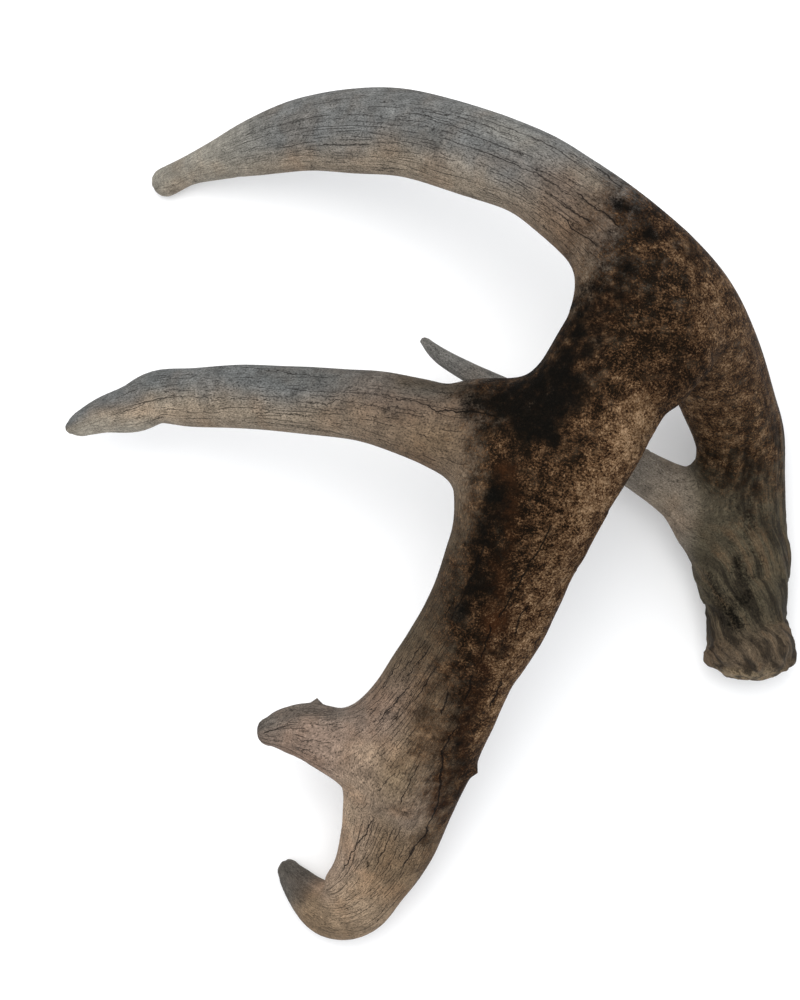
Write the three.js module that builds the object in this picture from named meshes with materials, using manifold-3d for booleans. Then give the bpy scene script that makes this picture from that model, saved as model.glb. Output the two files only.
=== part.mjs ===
// One shed antler of a white-tailed deer, lying on a table with the outer side of its curve up.
// Millimetres, +Z up, the table top at z = 0, the origin in the middle of the ground that it covers.
// The antler grew as one piece. It is split here at its four forks, with a hairline between
// neighbours: four tines, and the five lengths of beam before, between and after them.

import * as THREE from 'three';
import { mergeVertices } from 'three/addons/utils/BufferGeometryUtils.js';
import Module from 'manifold-3d';

const wasm = await Module();
wasm.setup();

// ---------------------------------------------------------------- driving dimensions

const RING_SIDES = 18; // corners of each cross-section
const RING_STEP = 7; // distance between cross-sections along a branch
const HAIRLINE = 0.3; // space between neighbouring pieces
const TIP_RINGS = 2; // cross-sections that round off an end
const SEAL_BULGE = 4; // how far the seal stands out below the burr
const TABLE_SIZE = 600; // a block under z = 0, wider than the antler and deeper than it sinks
const TABLE_DEPTH = 40;

// Each branch is a row of oval cross-sections, its stations: [x, y, z of the centre, width, thickness].

// The back of the antler in one sweep: from the burr up over the elbow and out along the second tine.
const BACK = [
  [133, -64, 19.6, 29, 28], // seal, where it came off the skull
  [133, -61, 19.6, 36, 35],
  [133, -57, 19.6, 39, 39], // burr
  [133, -53, 19.6, 40, 40],
  [132, -48, 19, 35, 35],
  [131, -43, 18.5, 32, 32], // neck above the burr
  [131, -33, 18.5, 34, 33],
  [131, -16, 18.5, 35, 34],
  [130, 3, 17.1, 35, 35],
  [129, 19, 19, 36, 35],
  [126, 37, 31, 37, 34],
  [118, 53, 52, 38, 34],
  [108, 69, 75, 39, 34],
  [98, 82, 93, 40, 34], // elbow
  [85, 95, 104, 39, 33],
  [74, 105, 107, 38, 31],
  [64, 114, 107, 36, 29],
  [52, 124, 104, 34, 27],
  [37, 135, 97, 34, 26],
  [17, 145, 86, 35, 25],
  [-9, 154, 70, 35, 24],
  [-31, 157.5, 57, 34, 23],
  [-52, 158, 44, 30, 21],
  [-72, 155, 32, 24, 18],
  [-89, 151, 21, 16, 14],
  [-101, 148, 11, 12, 11],
  [-112, 143, 5.1, 12, 11], // worn, slightly swollen end
];

// The front of the beam: from inside the elbow down to the hooked end.
const FRONT = [
  [86, 82, 102, 48, 26],
  [81, 76, 104, 58, 28],
  [74, 66, 106, 57, 30],
  [66, 55, 107, 53, 31],
  [54, 33, 106, 51, 31],
  [41, 11, 102, 51, 31],
  [31, -8, 96, 50, 31],
  [22, -35, 85, 49, 31],
  [11, -54, 75, 47, 31],
  [2.5, -71, 66, 48, 30],
  [-5, -89, 55, 49, 29],
  [-12, -111, 43, 43, 28],
  [-18, -130, 33, 39.5, 27],
  [-25, -147, 23.5, 33, 25],
  [-34, -158.5, 16, 30, 23],
  [-43, -162, 11, 25, 19],
  [-51.5, -158, 7.4, 18, 14],
  [-58, -151, 5.2, 13, 11],
  [-61, -146.5, 4.4, 8, 9], // end of the hook
];

// The tines that grow out of the two sweeps, each from inside its root to its tip.
const THIRD = [
  [49, 17, 99, 66, 24],
  [32, 27, 99, 58, 25],
  [18, 34, 97, 46, 25],
  [3, 37.5, 93, 34, 25],
  [-8, 41, 90, 31, 24],
  [-22, 45, 84, 29, 23],
  [-36, 47, 78, 27, 22],
  [-58, 49, 69, 25, 21],
  [-77, 51, 60, 24, 20],
  [-96, 51, 51, 23, 19],
  [-111, 51, 43, 22, 17],
  [-122, 47, 38, 19, 15],
  [-135, 44, 31, 15, 12],
  [-146, 40, 26, 10, 9],
  [-149, 39, 24, 6, 6],
];

const BROW = [
  [126, -7, 20, 50, 20],
  [117, 0, 21.5, 35, 20],
  [103, 11, 24, 22, 19],
  [85, 22, 26, 18, 17],
  [61, 36, 29, 16, 15],
  [36, 51, 32, 13, 12],
  [14, 63, 35, 10, 9],
  [3, 69, 36, 7, 7],
  [-3, 74, 37, 4, 4],
];

const FOURTH = [
  [-9, -90, 56, 50, 21],
  [-26, -90, 56, 38, 21],
  [-38, -88, 55, 29, 20],
  [-47, -86, 53, 25, 18],
  [-53, -84, 51, 21, 15],
  [-61, -84, 49, 16, 12],
  [-65, -84, 48, 12, 9],
];

// Where the beam parts at each fork, as a place in the row of stations, counted from 0.
const AT_BROW_FORK = 8;
const AT_SECOND_FORK = 13.6;
const AT_THIRD_FORK = 5.4;
const AT_FOURTH_FORK = 10;

const COLOURS = {
  base: 0x4a3b2c,
  beam: 0x57442f,
  weathered: 0x8f8377,
  brow: 0x85786d,
  tip: 0x857566,
};
const ROUGHNESS = 0.72;

// ---------------------------------------------------------------- cross-sections

const UP = new THREE.Vector3(0, 0, 1);

// A row of stations as two smooth curves that share one parameter: the centre, and the oval's size.
function branch(stations) {
  const centre = new THREE.CatmullRomCurve3(stations.map(([x, y, z]) => new THREE.Vector3(x, y, z)));
  const size = new THREE.CatmullRomCurve3(
    stations.map(([, , , width, thickness]) => new THREE.Vector3(width, thickness, 0)),
    false,
    'catmullrom',
  );
  const steps = stations.length - 1;
  return { centre, size, at: (place) => place / steps, end: steps };
}

// The corners of one cross-section: across is level, and the other axis stands on the branch.
function ring({ centre, size }, t, { grow = 0, shrink = 1, shift = 0 } = {}) {
  const middle = centre.getPoint(t);
  const along = centre.getTangent(t);
  const across = new THREE.Vector3().crossVectors(along, UP).normalize();
  const over = new THREE.Vector3().crossVectors(across, along);
  const oval = size.getPoint(t);
  const halfWidth = (oval.x / 2) * shrink + grow;
  const halfThickness = (oval.y / 2) * shrink + grow;
  middle.addScaledVector(along, shift);
  const corners = [];
  for (let i = 0; i < RING_SIDES; i += 1) {
    const turn = (2 * Math.PI * (i + 0.5)) / RING_SIDES;
    corners.push(
      middle
        .clone()
        .addScaledVector(across, halfWidth * Math.cos(turn))
        .addScaledVector(over, halfThickness * Math.sin(turn)),
    );
  }
  return { middle, corners };
}

// The cross-sections that round off one end, which stands out by bulge, or back by a negative one.
function roundedEnd(part, t, bulge, grow) {
  const rings = [];
  for (let i = 1; i <= TIP_RINGS + 1; i += 1) {
    const angle = (Math.PI / 2) * (i / (TIP_RINGS + 1));
    rings.push(ring(part, t, { grow, shift: bulge * Math.sin(angle), shrink: Math.cos(angle) }));
  }
  return rings;
}

function tipRadius(part) {
  return part.size.getPoint(1).y / 2;
}

// ---------------------------------------------------------------- solids

// A closed solid through the cross-sections between two places of a row. An end that meets the next
// length of the same row is pulled back by half the hairline.
function loft(part, { from = 0, to = part.end, seal = false, tip = false, grow = 0 } = {}) {
  const start = part.at(from);
  const finish = part.at(to);
  const count = Math.round((part.centre.getLength() * (finish - start)) / RING_STEP);
  const rings = [];
  for (let i = 0; i <= count; i += 1) {
    const meetsBefore = i === 0 && from > 0;
    const meetsAfter = i === count && to < part.end;
    const shift = (HAIRLINE / 2) * (Number(meetsBefore) - Number(meetsAfter));
    rings.push(ring(part, start + ((finish - start) * i) / count, { grow, shift }));
  }
  if (seal) rings.unshift(...roundedEnd(part, start, -SEAL_BULGE, grow).reverse());
  if (tip) rings.push(...roundedEnd(part, finish, tipRadius(part), grow));
  return solidFromRings(rings);
}

function solidFromRings(rings) {
  const points = rings.flatMap(({ corners }) => corners);
  const first = points.length;
  const last = first + 1;
  points.push(rings[0].middle, rings[rings.length - 1].middle);
  const faces = [];
  for (let i = 0; i < RING_SIDES; i += 1) {
    const next = (i + 1) % RING_SIDES;
    const endRing = (rings.length - 1) * RING_SIDES;
    faces.push(first, i, next);
    faces.push(last, endRing + next, endRing + i);
    for (let r = 0; r < rings.length - 1; r += 1) {
      const here = r * RING_SIDES;
      const beyond = here + RING_SIDES;
      faces.push(here + i, beyond + i, beyond + next);
      faces.push(here + i, beyond + next, here + next);
    }
  }
  const geometry = new THREE.BufferGeometry().setFromPoints(points);
  geometry.setIndex(faces);
  return toSolid(geometry);
}

function toSolid(geometry) {
  geometry.deleteAttribute('normal');
  geometry.deleteAttribute('uv');
  const merged = mergeVertices(geometry, 1e-5);
  return new wasm.Manifold(
    new wasm.Mesh({
      numProp: 3,
      vertProperties: new Float32Array(merged.attributes.position.array),
      triVerts: new Uint32Array(merged.index.array),
    }),
  );
}

function toGeometry(solid) {
  const mesh = solid.getMesh();
  const geometry = new THREE.BufferGeometry();
  geometry.setAttribute('position', new THREE.BufferAttribute(new Float32Array(mesh.vertProperties), 3));
  geometry.setIndex(new THREE.BufferAttribute(new Uint32Array(mesh.triVerts), 1));
  geometry.computeVertexNormals();
  return geometry;
}

// Everything below the table top: it takes the small flats where the antler rests.
const tableBlock = new THREE.BoxGeometry(TABLE_SIZE, TABLE_SIZE, TABLE_DEPTH);
const table = toSolid(tableBlock.translate(0, 0, -TABLE_DEPTH / 2));

// ---------------------------------------------------------------- the antler

const back = branch(BACK);
const front = branch(FRONT);
const third = branch(THIRD);
const brow = branch(BROW);
const fourth = branch(FOURTH);

// The two sweeps a hairline larger all round, to cut the roots of what grows out of them.
const backSweep = loft(back, { grow: HAIRLINE });
const frontSweep = loft(front, { grow: HAIRLINE });

const solids = {
  burr_and_base: loft(back, { to: AT_BROW_FORK, seal: true }),
  rear_beam: loft(back, { from: AT_BROW_FORK, to: AT_SECOND_FORK }),
  second_tine: loft(back, { from: AT_SECOND_FORK, tip: true }),
  middle_beam: loft(front, { to: AT_THIRD_FORK }).subtract(backSweep),
  front_beam: loft(front, { from: AT_THIRD_FORK, to: AT_FOURTH_FORK }),
  beam_end: loft(front, { from: AT_FOURTH_FORK, tip: true }),
  brow_tine: loft(brow, { tip: true }).subtract(backSweep),
  third_tine: loft(third, { tip: true }).subtract(frontSweep),
  fourth_tine: loft(fourth, { tip: true }).subtract(frontSweep),
};

const colourOf = {
  burr_and_base: COLOURS.base,
  rear_beam: COLOURS.beam,
  second_tine: COLOURS.weathered,
  middle_beam: COLOURS.beam,
  front_beam: COLOURS.beam,
  beam_end: COLOURS.tip,
  brow_tine: COLOURS.brow,
  third_tine: COLOURS.weathered,
  fourth_tine: COLOURS.tip,
};

const group = new THREE.Group();
for (const [name, solid] of Object.entries(solids)) {
  const material = new THREE.MeshStandardMaterial({
    color: colourOf[name],
    roughness: ROUGHNESS,
    metalness: 0,
  });
  const mesh = new THREE.Mesh(toGeometry(solid.subtract(table)), material);
  mesh.name = name;
  group.add(mesh);
}

export default group;
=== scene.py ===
import math

import bpy
import numpy as np
import openvdb
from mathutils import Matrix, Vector


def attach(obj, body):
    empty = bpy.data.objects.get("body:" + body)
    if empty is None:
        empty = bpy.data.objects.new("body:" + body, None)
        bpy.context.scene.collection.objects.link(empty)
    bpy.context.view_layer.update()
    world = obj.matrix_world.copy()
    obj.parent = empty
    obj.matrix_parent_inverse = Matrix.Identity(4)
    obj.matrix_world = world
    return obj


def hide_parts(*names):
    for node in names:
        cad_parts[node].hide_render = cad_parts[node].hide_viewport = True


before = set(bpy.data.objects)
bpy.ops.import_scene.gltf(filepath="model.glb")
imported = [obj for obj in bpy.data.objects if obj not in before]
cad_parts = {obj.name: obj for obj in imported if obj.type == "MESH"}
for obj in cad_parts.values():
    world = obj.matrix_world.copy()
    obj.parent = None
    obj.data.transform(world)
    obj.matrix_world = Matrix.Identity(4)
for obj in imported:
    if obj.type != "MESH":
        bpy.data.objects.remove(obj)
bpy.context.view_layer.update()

# One shed antler of a white-tailed deer. Its looks are one continuous surface that stands for all
# nine CAD lengths: round-oval branches are joined with soft forks, then ridged, pearled and pitted,
# and a procedural material follows the direction in which the bone grew.
# Shapes are worked out in millimetres and turned to metres when the mesh is made.

MM = 0.001

# The lens looks straight down from here, and a picture point is IMAGE_SCALE wide at CAMERA_REACH.
CAMERA_X = -0.013
CAMERA_Y = 0.009
CAMERA_HEIGHT = 1.06
CAMERA_REACH = 1.0
IMAGE_SCALE = 0.40 * MM
IMAGE_WIDTH = 800
IMAGE_HEIGHT = 1000
SENSOR_HEIGHT = 24  # of the camera, in millimetres
PLAN_POINT = IMAGE_SCALE / MM  # millimetres that a picture point spans at CAMERA_REACH

# ---------------- branches, in millimetres

# Stations of each branch: x, y, z of the centre, width across, thickness.
BACK = [
    (133, -62, 18.6, 27, 27),
    (133, -59.5, 18.6, 33, 32),
    (133, -56, 18.6, 37, 36),
    (133, -52, 18.6, 37.5, 37),
    (132, -47, 18.5, 34.5, 34),
    (131, -43, 18.5, 32, 32),
    (131, -33, 18.5, 34, 33),
    (129.8, -24, 18.5, 37.5, 33.5),
    (130.2, -16, 18.5, 37, 34),
    (130, 3, 17.4, 35, 35),
    (129, 19, 19, 36, 35),
    (126, 37, 31, 37, 34),
    (118, 53, 52, 38, 34),
    (108, 69, 75, 40, 34),
    (98, 82, 93, 41, 34),
    (85, 95, 104, 40, 33),
    (74, 105, 107, 39, 31),
    (64, 114, 107, 37, 29),
    (52, 124, 104, 35, 27),
    (37, 135, 97, 34, 26),
    (17, 144, 86, 35, 25),
    (-9, 154, 70, 35, 24),
    (-31, 157, 57, 34, 23),
    (-52, 157.5, 44, 30, 21),
    (-72, 154.2, 32, 24, 18),
    (-89, 150.2, 21, 16, 14),
    (-101, 147.5, 11, 12, 11),
    (-112, 143, 5.3, 12, 11),
]
FRONT = [
    (88, 84, 102, 46, 26),
    (82, 77, 104, 57, 28),
    (74.6, 65.6, 106, 56, 30),
    (66.4, 54.8, 107, 51, 31),
    (54, 33, 106, 51, 31),
    (41, 11, 102, 51, 31),
    (32.3, -8, 96, 50.2, 31),
    (21.2, -35.3, 85, 47.5, 31),
    (10.6, -54.3, 75, 46.5, 31),
    (1.5, -71.8, 66, 50, 30),
    (-5.2, -89, 55, 48.5, 29),
    (-12.8, -111, 43, 45.2, 28),
    (-17.7, -130.3, 33, 39.8, 27),
    (-25, -147, 23.5, 33, 25),
    (-33.2, -158.8, 16, 30.5, 23),
    (-42, -162.4, 11, 25, 19),
    (-50.2, -158.3, 7.4, 18.5, 14),
    (-57.6, -150.7, 5.6, 12.4, 11),
    (-60, -147.3, 5, 9.6, 9.5),
]
THIRD = [
    (49, 17, 99, 70, 20),
    (32, 27, 99, 60, 22),
    (18, 34, 97, 46, 24),
    (3, 37.5, 93, 34, 25),
    (-8, 41, 90, 31, 24),
    (-22, 45, 84, 29, 23),
    (-36, 47, 78, 27, 22),
    (-58, 49, 69, 26, 21),
    (-77, 50.4, 60, 26, 20),
    (-96, 50.4, 51, 24.2, 19),
    (-111, 51, 43, 22, 17),
    (-122, 46.6, 38, 20, 15),
    (-135, 44, 31, 15, 12),
    (-146, 40, 26, 10, 9),
    (-149, 39, 24, 6, 6),
]
BROW = [
    (122, -3, 20.5, 38, 20),
    (114, 2, 22, 31, 20),
    (103, 11, 24, 22, 19),
    (85, 22, 26, 18, 17),
    (61, 36, 29, 16, 15),
    (36, 50.5, 32, 12.5, 12),
    (14, 62, 35, 9, 9),
    (3, 68.5, 36, 7, 7),
    (-3, 74, 37, 4, 4),
]
FOURTH = [
    (-9, -91, 56, 50, 20),
    (-26, -90.3, 56, 35, 21),
    (-38, -88.3, 55, 26.6, 20),
    (-47, -85.1, 53, 23.7, 18),
    (-53, -84, 51, 21.5, 15),
    (-61, -84, 49, 16, 12),
    (-66, -84.8, 48, 10.5, 9),
]

SAMPLE_STEP = 1.5  # between the points that stand for a centreline
LOFT_SIDES = 48
END_RINGS = 5
END_SHRINK = 0.02  # least size of a ring in a rounded end, so that no ring closes to a point
SEAL_BULGE = 3.5  # how far the shed seal stands out below the burr
BASE_TWIST = 0.028  # turn of the base's ridges round the beam, in radians a millimetre
CHUNKS = 40  # parts in which many points are looked up, to save memory

VOXEL = 1.25
BAND = 15  # voxels on each side of a surface in which its distance is known
FORK_BLEND = (14, 14, 16.5, 10)  # how far the skin of each fork is drawn out, as in BRANCHES[1:]


def smooth(low, high, value):
    """0 below low, 1 above high and a soft step between them; high may be the smaller one."""
    t = np.clip((value - low) / (high - low), 0, 1)
    return t * t * (3 - 2 * t)


def smooth_row(stations):
    """A Catmull-Rom curve through the stations, with points about SAMPLE_STEP apart."""
    padded = np.vstack([2 * stations[0] - stations[1], stations, 2 * stations[-1] - stations[-2]])
    pieces = []
    for i in range(1, len(stations)):
        a, b, c, d = padded[i - 1], padded[i], padded[i + 1], padded[i + 2]
        count = max(1, round(float(np.linalg.norm((c - b)[:3])) / SAMPLE_STEP))
        t = (np.arange(count) / count)[:, None]
        bend = 2 * a - 5 * b + 4 * c - d
        twist = 3 * b - a - 3 * c + d
        pieces.append(0.5 * (2 * b + (c - a) * t + bend * t**2 + twist * t**3))
    pieces.append(stations[-1:])
    return np.vstack(pieces)


def nearest_row(points, rows):
    """The number of the row that is nearest to each point."""
    square = (rows**2).sum(1)
    parts = [(square - 2 * some @ rows.T).argmin(1) for some in np.array_split(points, CHUNKS)]
    return np.concatenate(parts)


class Branch:
    """A row of stations as a dense centreline with its oval sections."""

    def __init__(self, stations, start=0.0, rounded_start=0.0):
        row = smooth_row(np.array(stations, float))
        self.rounded_start = rounded_start
        self.centre = row[:, :3]
        self.half = row[:, 3:5] / 2
        self.along = np.gradient(self.centre, axis=0)
        self.along /= np.linalg.norm(self.along, axis=1)[:, None]
        self.across = np.cross(self.along, (0, 0, 1))
        self.across /= np.linalg.norm(self.across, axis=1)[:, None]
        self.over = np.cross(self.across, self.along)
        steps = np.linalg.norm(np.diff(self.centre, axis=0), axis=1)
        self.reach = start + np.concatenate([[0], np.cumsum(steps)])

    def ring(self, i, scale=1.0, shift=0.0):
        turn = np.arange(LOFT_SIDES) * 2 * math.pi / LOFT_SIDES
        wide = np.cos(turn)[:, None] * self.across[i] * self.half[i, 0] * scale
        high = np.sin(turn)[:, None] * self.over[i] * self.half[i, 1] * scale
        return self.centre[i] + self.along[i] * shift + wide + high

    def rings(self):
        angles = np.linspace(0, math.pi / 2, END_RINGS + 1)[1:]
        last = len(self.centre) - 1
        rounding = self.half[last, 1]
        rows = [self.ring(i) for i in range(last + 1)]
        for a in angles:
            shrink = max(math.cos(a), END_SHRINK)
            rows.append(self.ring(last, shrink, rounding * math.sin(a)))
            rows.insert(0, self.ring(0, shrink, -self.rounded_start * math.sin(a)))
        return np.array(rows)

    def nearest(self, points):
        """The number of the centreline sample nearest to each point."""
        return nearest_row(points, self.centre)

    def locate(self, points):
        """Reach, side and height of each point on this branch, and its distance from the skin."""
        i = self.nearest(points)
        off = points - self.centre[i]
        ahead = (off * self.along[i]).sum(1)
        side = (off * self.across[i]).sum(1)
        height = (off * self.over[i]).sum(1)
        wide, thick = self.half[i].T
        size = np.sqrt((side / wide) ** 2 + (height / thick) ** 2 + (ahead / thick) ** 2)
        return self.reach[i] + ahead, side, height, (size - 1) * np.minimum(wide, thick)


def reach_near(branch, station):
    """How far along a branch the point nearest to a station of another branch lies."""
    return branch.reach[branch.nearest(np.array([station[:3]], float))[0]]


back = Branch(BACK, rounded_start=SEAL_BULGE)
SECOND_FORK = reach_near(back, FRONT[1])
front = Branch(FRONT, start=SECOND_FORK)
THIRD_FORK = reach_near(front, THIRD[0])
FOURTH_FORK = reach_near(front, FOURTH[0])
BROW_FORK = reach_near(back, BROW[0])
third = Branch(THIRD, start=THIRD_FORK)
fourth = Branch(FOURTH, start=FOURTH_FORK)
brow = Branch(BROW, start=BROW_FORK)
BRANCHES = [back, front, third, fourth, brow]
BRANCH_NAMES = ("back", "front", "third", "fourth", "brow")

# ---------------- one skin round all branches


def loft_mesh(branch):
    rings = branch.rings()
    rows, sides = rings.shape[:2]
    points = np.vstack([rings.reshape(-1, 3), rings[0].mean(0), rings[-1].mean(0)])
    here = np.arange(sides)
    beyond = (here + 1) % sides
    quads = []
    for r in range(rows - 1):
        low = r * sides
        high = low + sides
        quads.append(np.stack([low + here, low + beyond, high + beyond, high + here], axis=1))
    start_fan = np.stack([np.full(sides, rows * sides), beyond, here], axis=1)
    end = (rows - 1) * sides
    end_fan = np.stack([np.full(sides, rows * sides + 1), end + here, end + beyond], axis=1)
    return points, np.vstack([start_fan, end_fan]), np.vstack(quads)


def distance_field(branch, low, shape):
    """Distance to a branch's skin at each voxel: negative inside, capped at the band's width."""
    points, triangles, quads = loft_mesh(branch)
    grid = openvdb.FloatGrid.createLevelSetFromPolygons(
        (points - low).astype(np.float32),
        triangles=triangles.astype(np.uint32),
        quads=quads.astype(np.uint32),
        transform=openvdb.createLinearTransform(voxelSize=VOXEL),
        halfWidth=BAND,
    )
    field = np.zeros(shape, np.float32)
    grid.copyToArray(field)
    return field


def blend_fields(a, b, reach):
    """The smaller of two distances, with the corner between them filled in."""
    near = np.maximum(reach - np.abs(a - b), 0) / reach
    return np.minimum(a, b) - near * near * reach / 4


def make_skin():
    """Points and quads of the whole skin, and the outline from above without the brow tine."""
    everything = np.vstack([b.rings().reshape(-1, 3) for b in BRANCHES])
    margin = BAND * VOXEL
    low = np.floor(everything.min(0) - margin)
    shape = tuple(np.ceil((everything.max(0) + margin - low) / VOXEL).astype(int))
    fields = [distance_field(branch, low, shape) for branch in BRANCHES]
    whole = fields[0]
    for field, reach in zip(fields[1:], FORK_BLEND):
        if field is fields[-1]:
            outline = whole.min(axis=2) < 0
        whole = blend_fields(whole, field, reach)
    height = low[2] + VOXEL * np.arange(shape[2], dtype=np.float32)
    whole = np.maximum(whole, -height)
    grid = openvdb.FloatGrid(margin)
    grid.copyFromArray(whole)
    grid.transform = openvdb.createLinearTransform(voxelSize=VOXEL)
    grid.gridClass = openvdb.GridClass.LEVEL_SET
    points, quads = grid.convertToQuads(isovalue=0.0)
    return points + low, quads[:, ::-1].astype(int), outline, low


# ---------------- lines of growth

# Bone grows in lines that part at each fork. Seen from above they never cross the outline, so each
# wall of the outline gets a number and the numbers in between are spread out evenly.
OUTER_WALL = 0.0  # burr, elbow, far side of the second tine
UPPER_GAP_WALL = 30.0  # between the second and third tine
LOWER_GAP_WALL = 50.0  # between the third and fourth tine
HOOK_WALL = 66.0  # between the fourth tine and the hooked end
INNER_WALL = 104.0  # hooked end, near side of the beam, inside of the elbow
SPREAD_ROUNDS = 2500


def wall_numbers(places):
    """The number of the wall that is nearest to each place outside the outline."""
    best = np.full(len(places), np.inf)
    number = np.zeros(len(places))
    flat = np.c_[places, np.zeros(len(places))]
    for branch in (back, front, third, fourth):
        level = branch.centre * (1, 1, 0)
        i = nearest_row(flat, level)
        off = flat - level[i]
        gap = np.linalg.norm(off, axis=1) - branch.half[i, 0]
        right = (off * branch.across[i]).sum(1) > 0
        reach = branch.reach[i]
        if branch is back:
            left_wall = np.where(reach < SECOND_FORK, INNER_WALL, UPPER_GAP_WALL)
            wall = np.where(right, OUTER_WALL, left_wall)
        elif branch is front:
            lower = np.where(reach < FOURTH_FORK, LOWER_GAP_WALL, HOOK_WALL)
            right_wall = np.where(reach < THIRD_FORK, UPPER_GAP_WALL, lower)
            wall = np.where(right, right_wall, INNER_WALL)
        elif branch is third:
            wall = np.where(right, UPPER_GAP_WALL, LOWER_GAP_WALL)
        else:
            wall = np.where(right, LOWER_GAP_WALL, HOOK_WALL)
        closer = gap < best
        best[closer] = gap[closer]
        number[closer] = wall[closer]
    return number


def spread_lines(outline, low):
    """Numbers of the growth lines on a grid seen from above."""
    columns, rows = np.indices(outline.shape)
    places = np.c_[columns.ravel() * VOXEL + low[0], rows.ravel() * VOXEL + low[1]]
    lines = wall_numbers(places).reshape(outline.shape)
    inside = outline.copy()
    inside[[0, -1], :] = False
    inside[:, [0, -1]] = False
    for _ in range(SPREAD_ROUNDS):
        middle = (lines[2:, 1:-1] + lines[:-2, 1:-1] + lines[1:-1, 2:] + lines[1:-1, :-2]) / 4
        lines[1:-1, 1:-1] = np.where(inside[1:-1, 1:-1], middle, lines[1:-1, 1:-1])
    return lines


def read_grid(grid, low, points):
    """The value of a grid seen from above at each point, straight between the grid's values."""
    x = np.clip((points[:, 0] - low[0]) / VOXEL, 0, grid.shape[0] - 1.001)
    y = np.clip((points[:, 1] - low[1]) / VOXEL, 0, grid.shape[1] - 1.001)
    i = x.astype(int)
    j = y.astype(int)
    fx = x - i
    fy = y - j
    near = grid[i, j] * (1 - fy) + grid[i, j + 1] * fy
    far = grid[i + 1, j] * (1 - fy) + grid[i + 1, j + 1] * fy
    return near * (1 - fx) + far * fx


SHARE_BLUR = 3  # distance over which one branch gives way to the next


class Place:
    """Where points lie on the antler: share of each branch, growth line, height, reach, side."""

    def __init__(self, points, lines, low):
        found = [branch.locate(points) for branch in BRANCHES]
        closeness = np.array([np.exp(-np.clip(f[3], -20, 60) / SHARE_BLUR) for f in found]) + 1e-12
        share = closeness / closeness.sum(0)
        self.share = dict(zip(BRANCH_NAMES, share))
        self.reach = sum(w * f[0] for w, f in zip(share, found))
        self.height = sum(w * f[2] for w, f in zip(share, found))
        self.back_reach = found[0][0]
        self.front_reach = found[1][0]
        self.third_reach = found[2][0]
        self.side = {
            name: f[1] / np.interp(f[0], branch.reach, branch.half[:, 0])
            for name, branch, f in zip(BRANCH_NAMES, BRANCHES, found)
        }
        line = read_grid(lines, low, points)
        self.flow = np.c_[line, self.height, self.reach]
        root = share[0] / (share[0] + share[4])
        turn = BASE_TWIST * np.maximum(BROW_FORK - self.back_reach, 0)
        side, height = found[0][1:3]
        turned_side = side * np.cos(turn) - height * np.sin(turn)
        turned_height = side * np.sin(turn) + height * np.cos(turn)
        round_side = root * turned_side + (1 - root) * found[4][1]
        round_height = self.height + root * (turned_height - height)
        self.tube = np.c_[round_side, round_height, self.reach]
        self.along = sum(w[:, None] * b.along[b.nearest(points)] for w, b in zip(share, BRANCHES))


# ---------------- relief


NOISE_VALUES = 4096
NOISE_PRIMES = (73856093, 19349663, 83492791)  # they spread the cells over the values


def soft_noise(place, seed):
    """Smooth random values between -1 and 1 through space, one lump per unit."""
    table = np.random.default_rng(seed).uniform(-1, 1, NOISE_VALUES)
    cell = np.floor(place).astype(np.int64)
    part = place - cell
    part = part * part * (3 - 2 * part)
    total = np.zeros(len(place))
    for corner in np.ndindex(2, 2, 2):
        key = np.bitwise_xor.reduce((cell + corner) * NOISE_PRIMES, axis=1) % NOISE_VALUES
        total += table[key] * np.prod(np.where(np.array(corner, bool), part, 1 - part), axis=1)
    return total


def lump(points, place, radius, power):
    """A rise on the skin: 1 at the point nearest to the place, nearly 0 at twice the radius."""
    centre = points[((points - place) ** 2).sum(1).argmin()]
    return np.exp(-(np.linalg.norm(points - centre, axis=1) / radius) ** power)


# Where each lump is, how far out it stands, its radius and how sharply it ends.
LUMPS = [
    ((17.5, -100, 56), 2.2, 2.6, 1.3),  # small point on the near side of the beam
    ((-46.9, -69, 53), 2.4, 1.7, 1.6),  # small point on the upper side of the fourth tine
    ((-26, -138, 41), -1.5, 1.7, 2.0),  # round hole near the hooked end
]
PEARL_HEIGHT = 1.2
BURR_HEIGHT = 1.9


def relief(points, place):
    """How far each point is moved out along its normal."""
    share = place.share
    base = share["back"] * smooth(SECOND_FORK - 60, SECOND_FORK - 110, place.back_reach)
    burr = share["back"] * smooth(17, 12, place.back_reach) * smooth(-1, 3, place.back_reach)
    pearls = base * smooth(95, 20, place.back_reach)
    waves = [  # height, where, coordinates, size of a lump and seed
        (0.35, 1, points, 24, 1),
        (0.22, 1 - base, place.flow, (5, 6, 60), 2),
        (0.16, 1 - base, place.flow, (2.6, 3, 35), 3),
        (0.30, share["front"], points, 11, 4),
        (0.8, base, place.tube, (4.2, 4.2, 48), 5),
        (0.3, base, place.tube, (2.6, 2.6, 24), 6),
    ]
    rise = np.zeros(len(points))
    for height, where, coordinates, size, seed in waves:
        rise += height * where * soft_noise(coordinates / np.array(size), seed)
    pearl = np.maximum(soft_noise(place.tube / (3.2, 3.2, 4.0), 7) - 0.1, 0)
    knob = np.maximum(soft_noise(place.tube / (3.8, 3.8, 5), 8), -0.35)
    rise += PEARL_HEIGHT * pearls * pearl
    rise += BURR_HEIGHT * burr * knob
    for centre, height, radius, power in LUMPS:
        rise += height * lump(points, centre, radius, power)
    return rise


# ---------------- colours of the bone


def srgb(red, green, blue):
    """A colour given as 0 to 255 on screen, as linear light."""
    value = np.array([red, green, blue]) / 255
    return np.where(value < 0.04045, value / 12.92, ((value + 0.055) / 1.055) ** 2.4)


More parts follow.
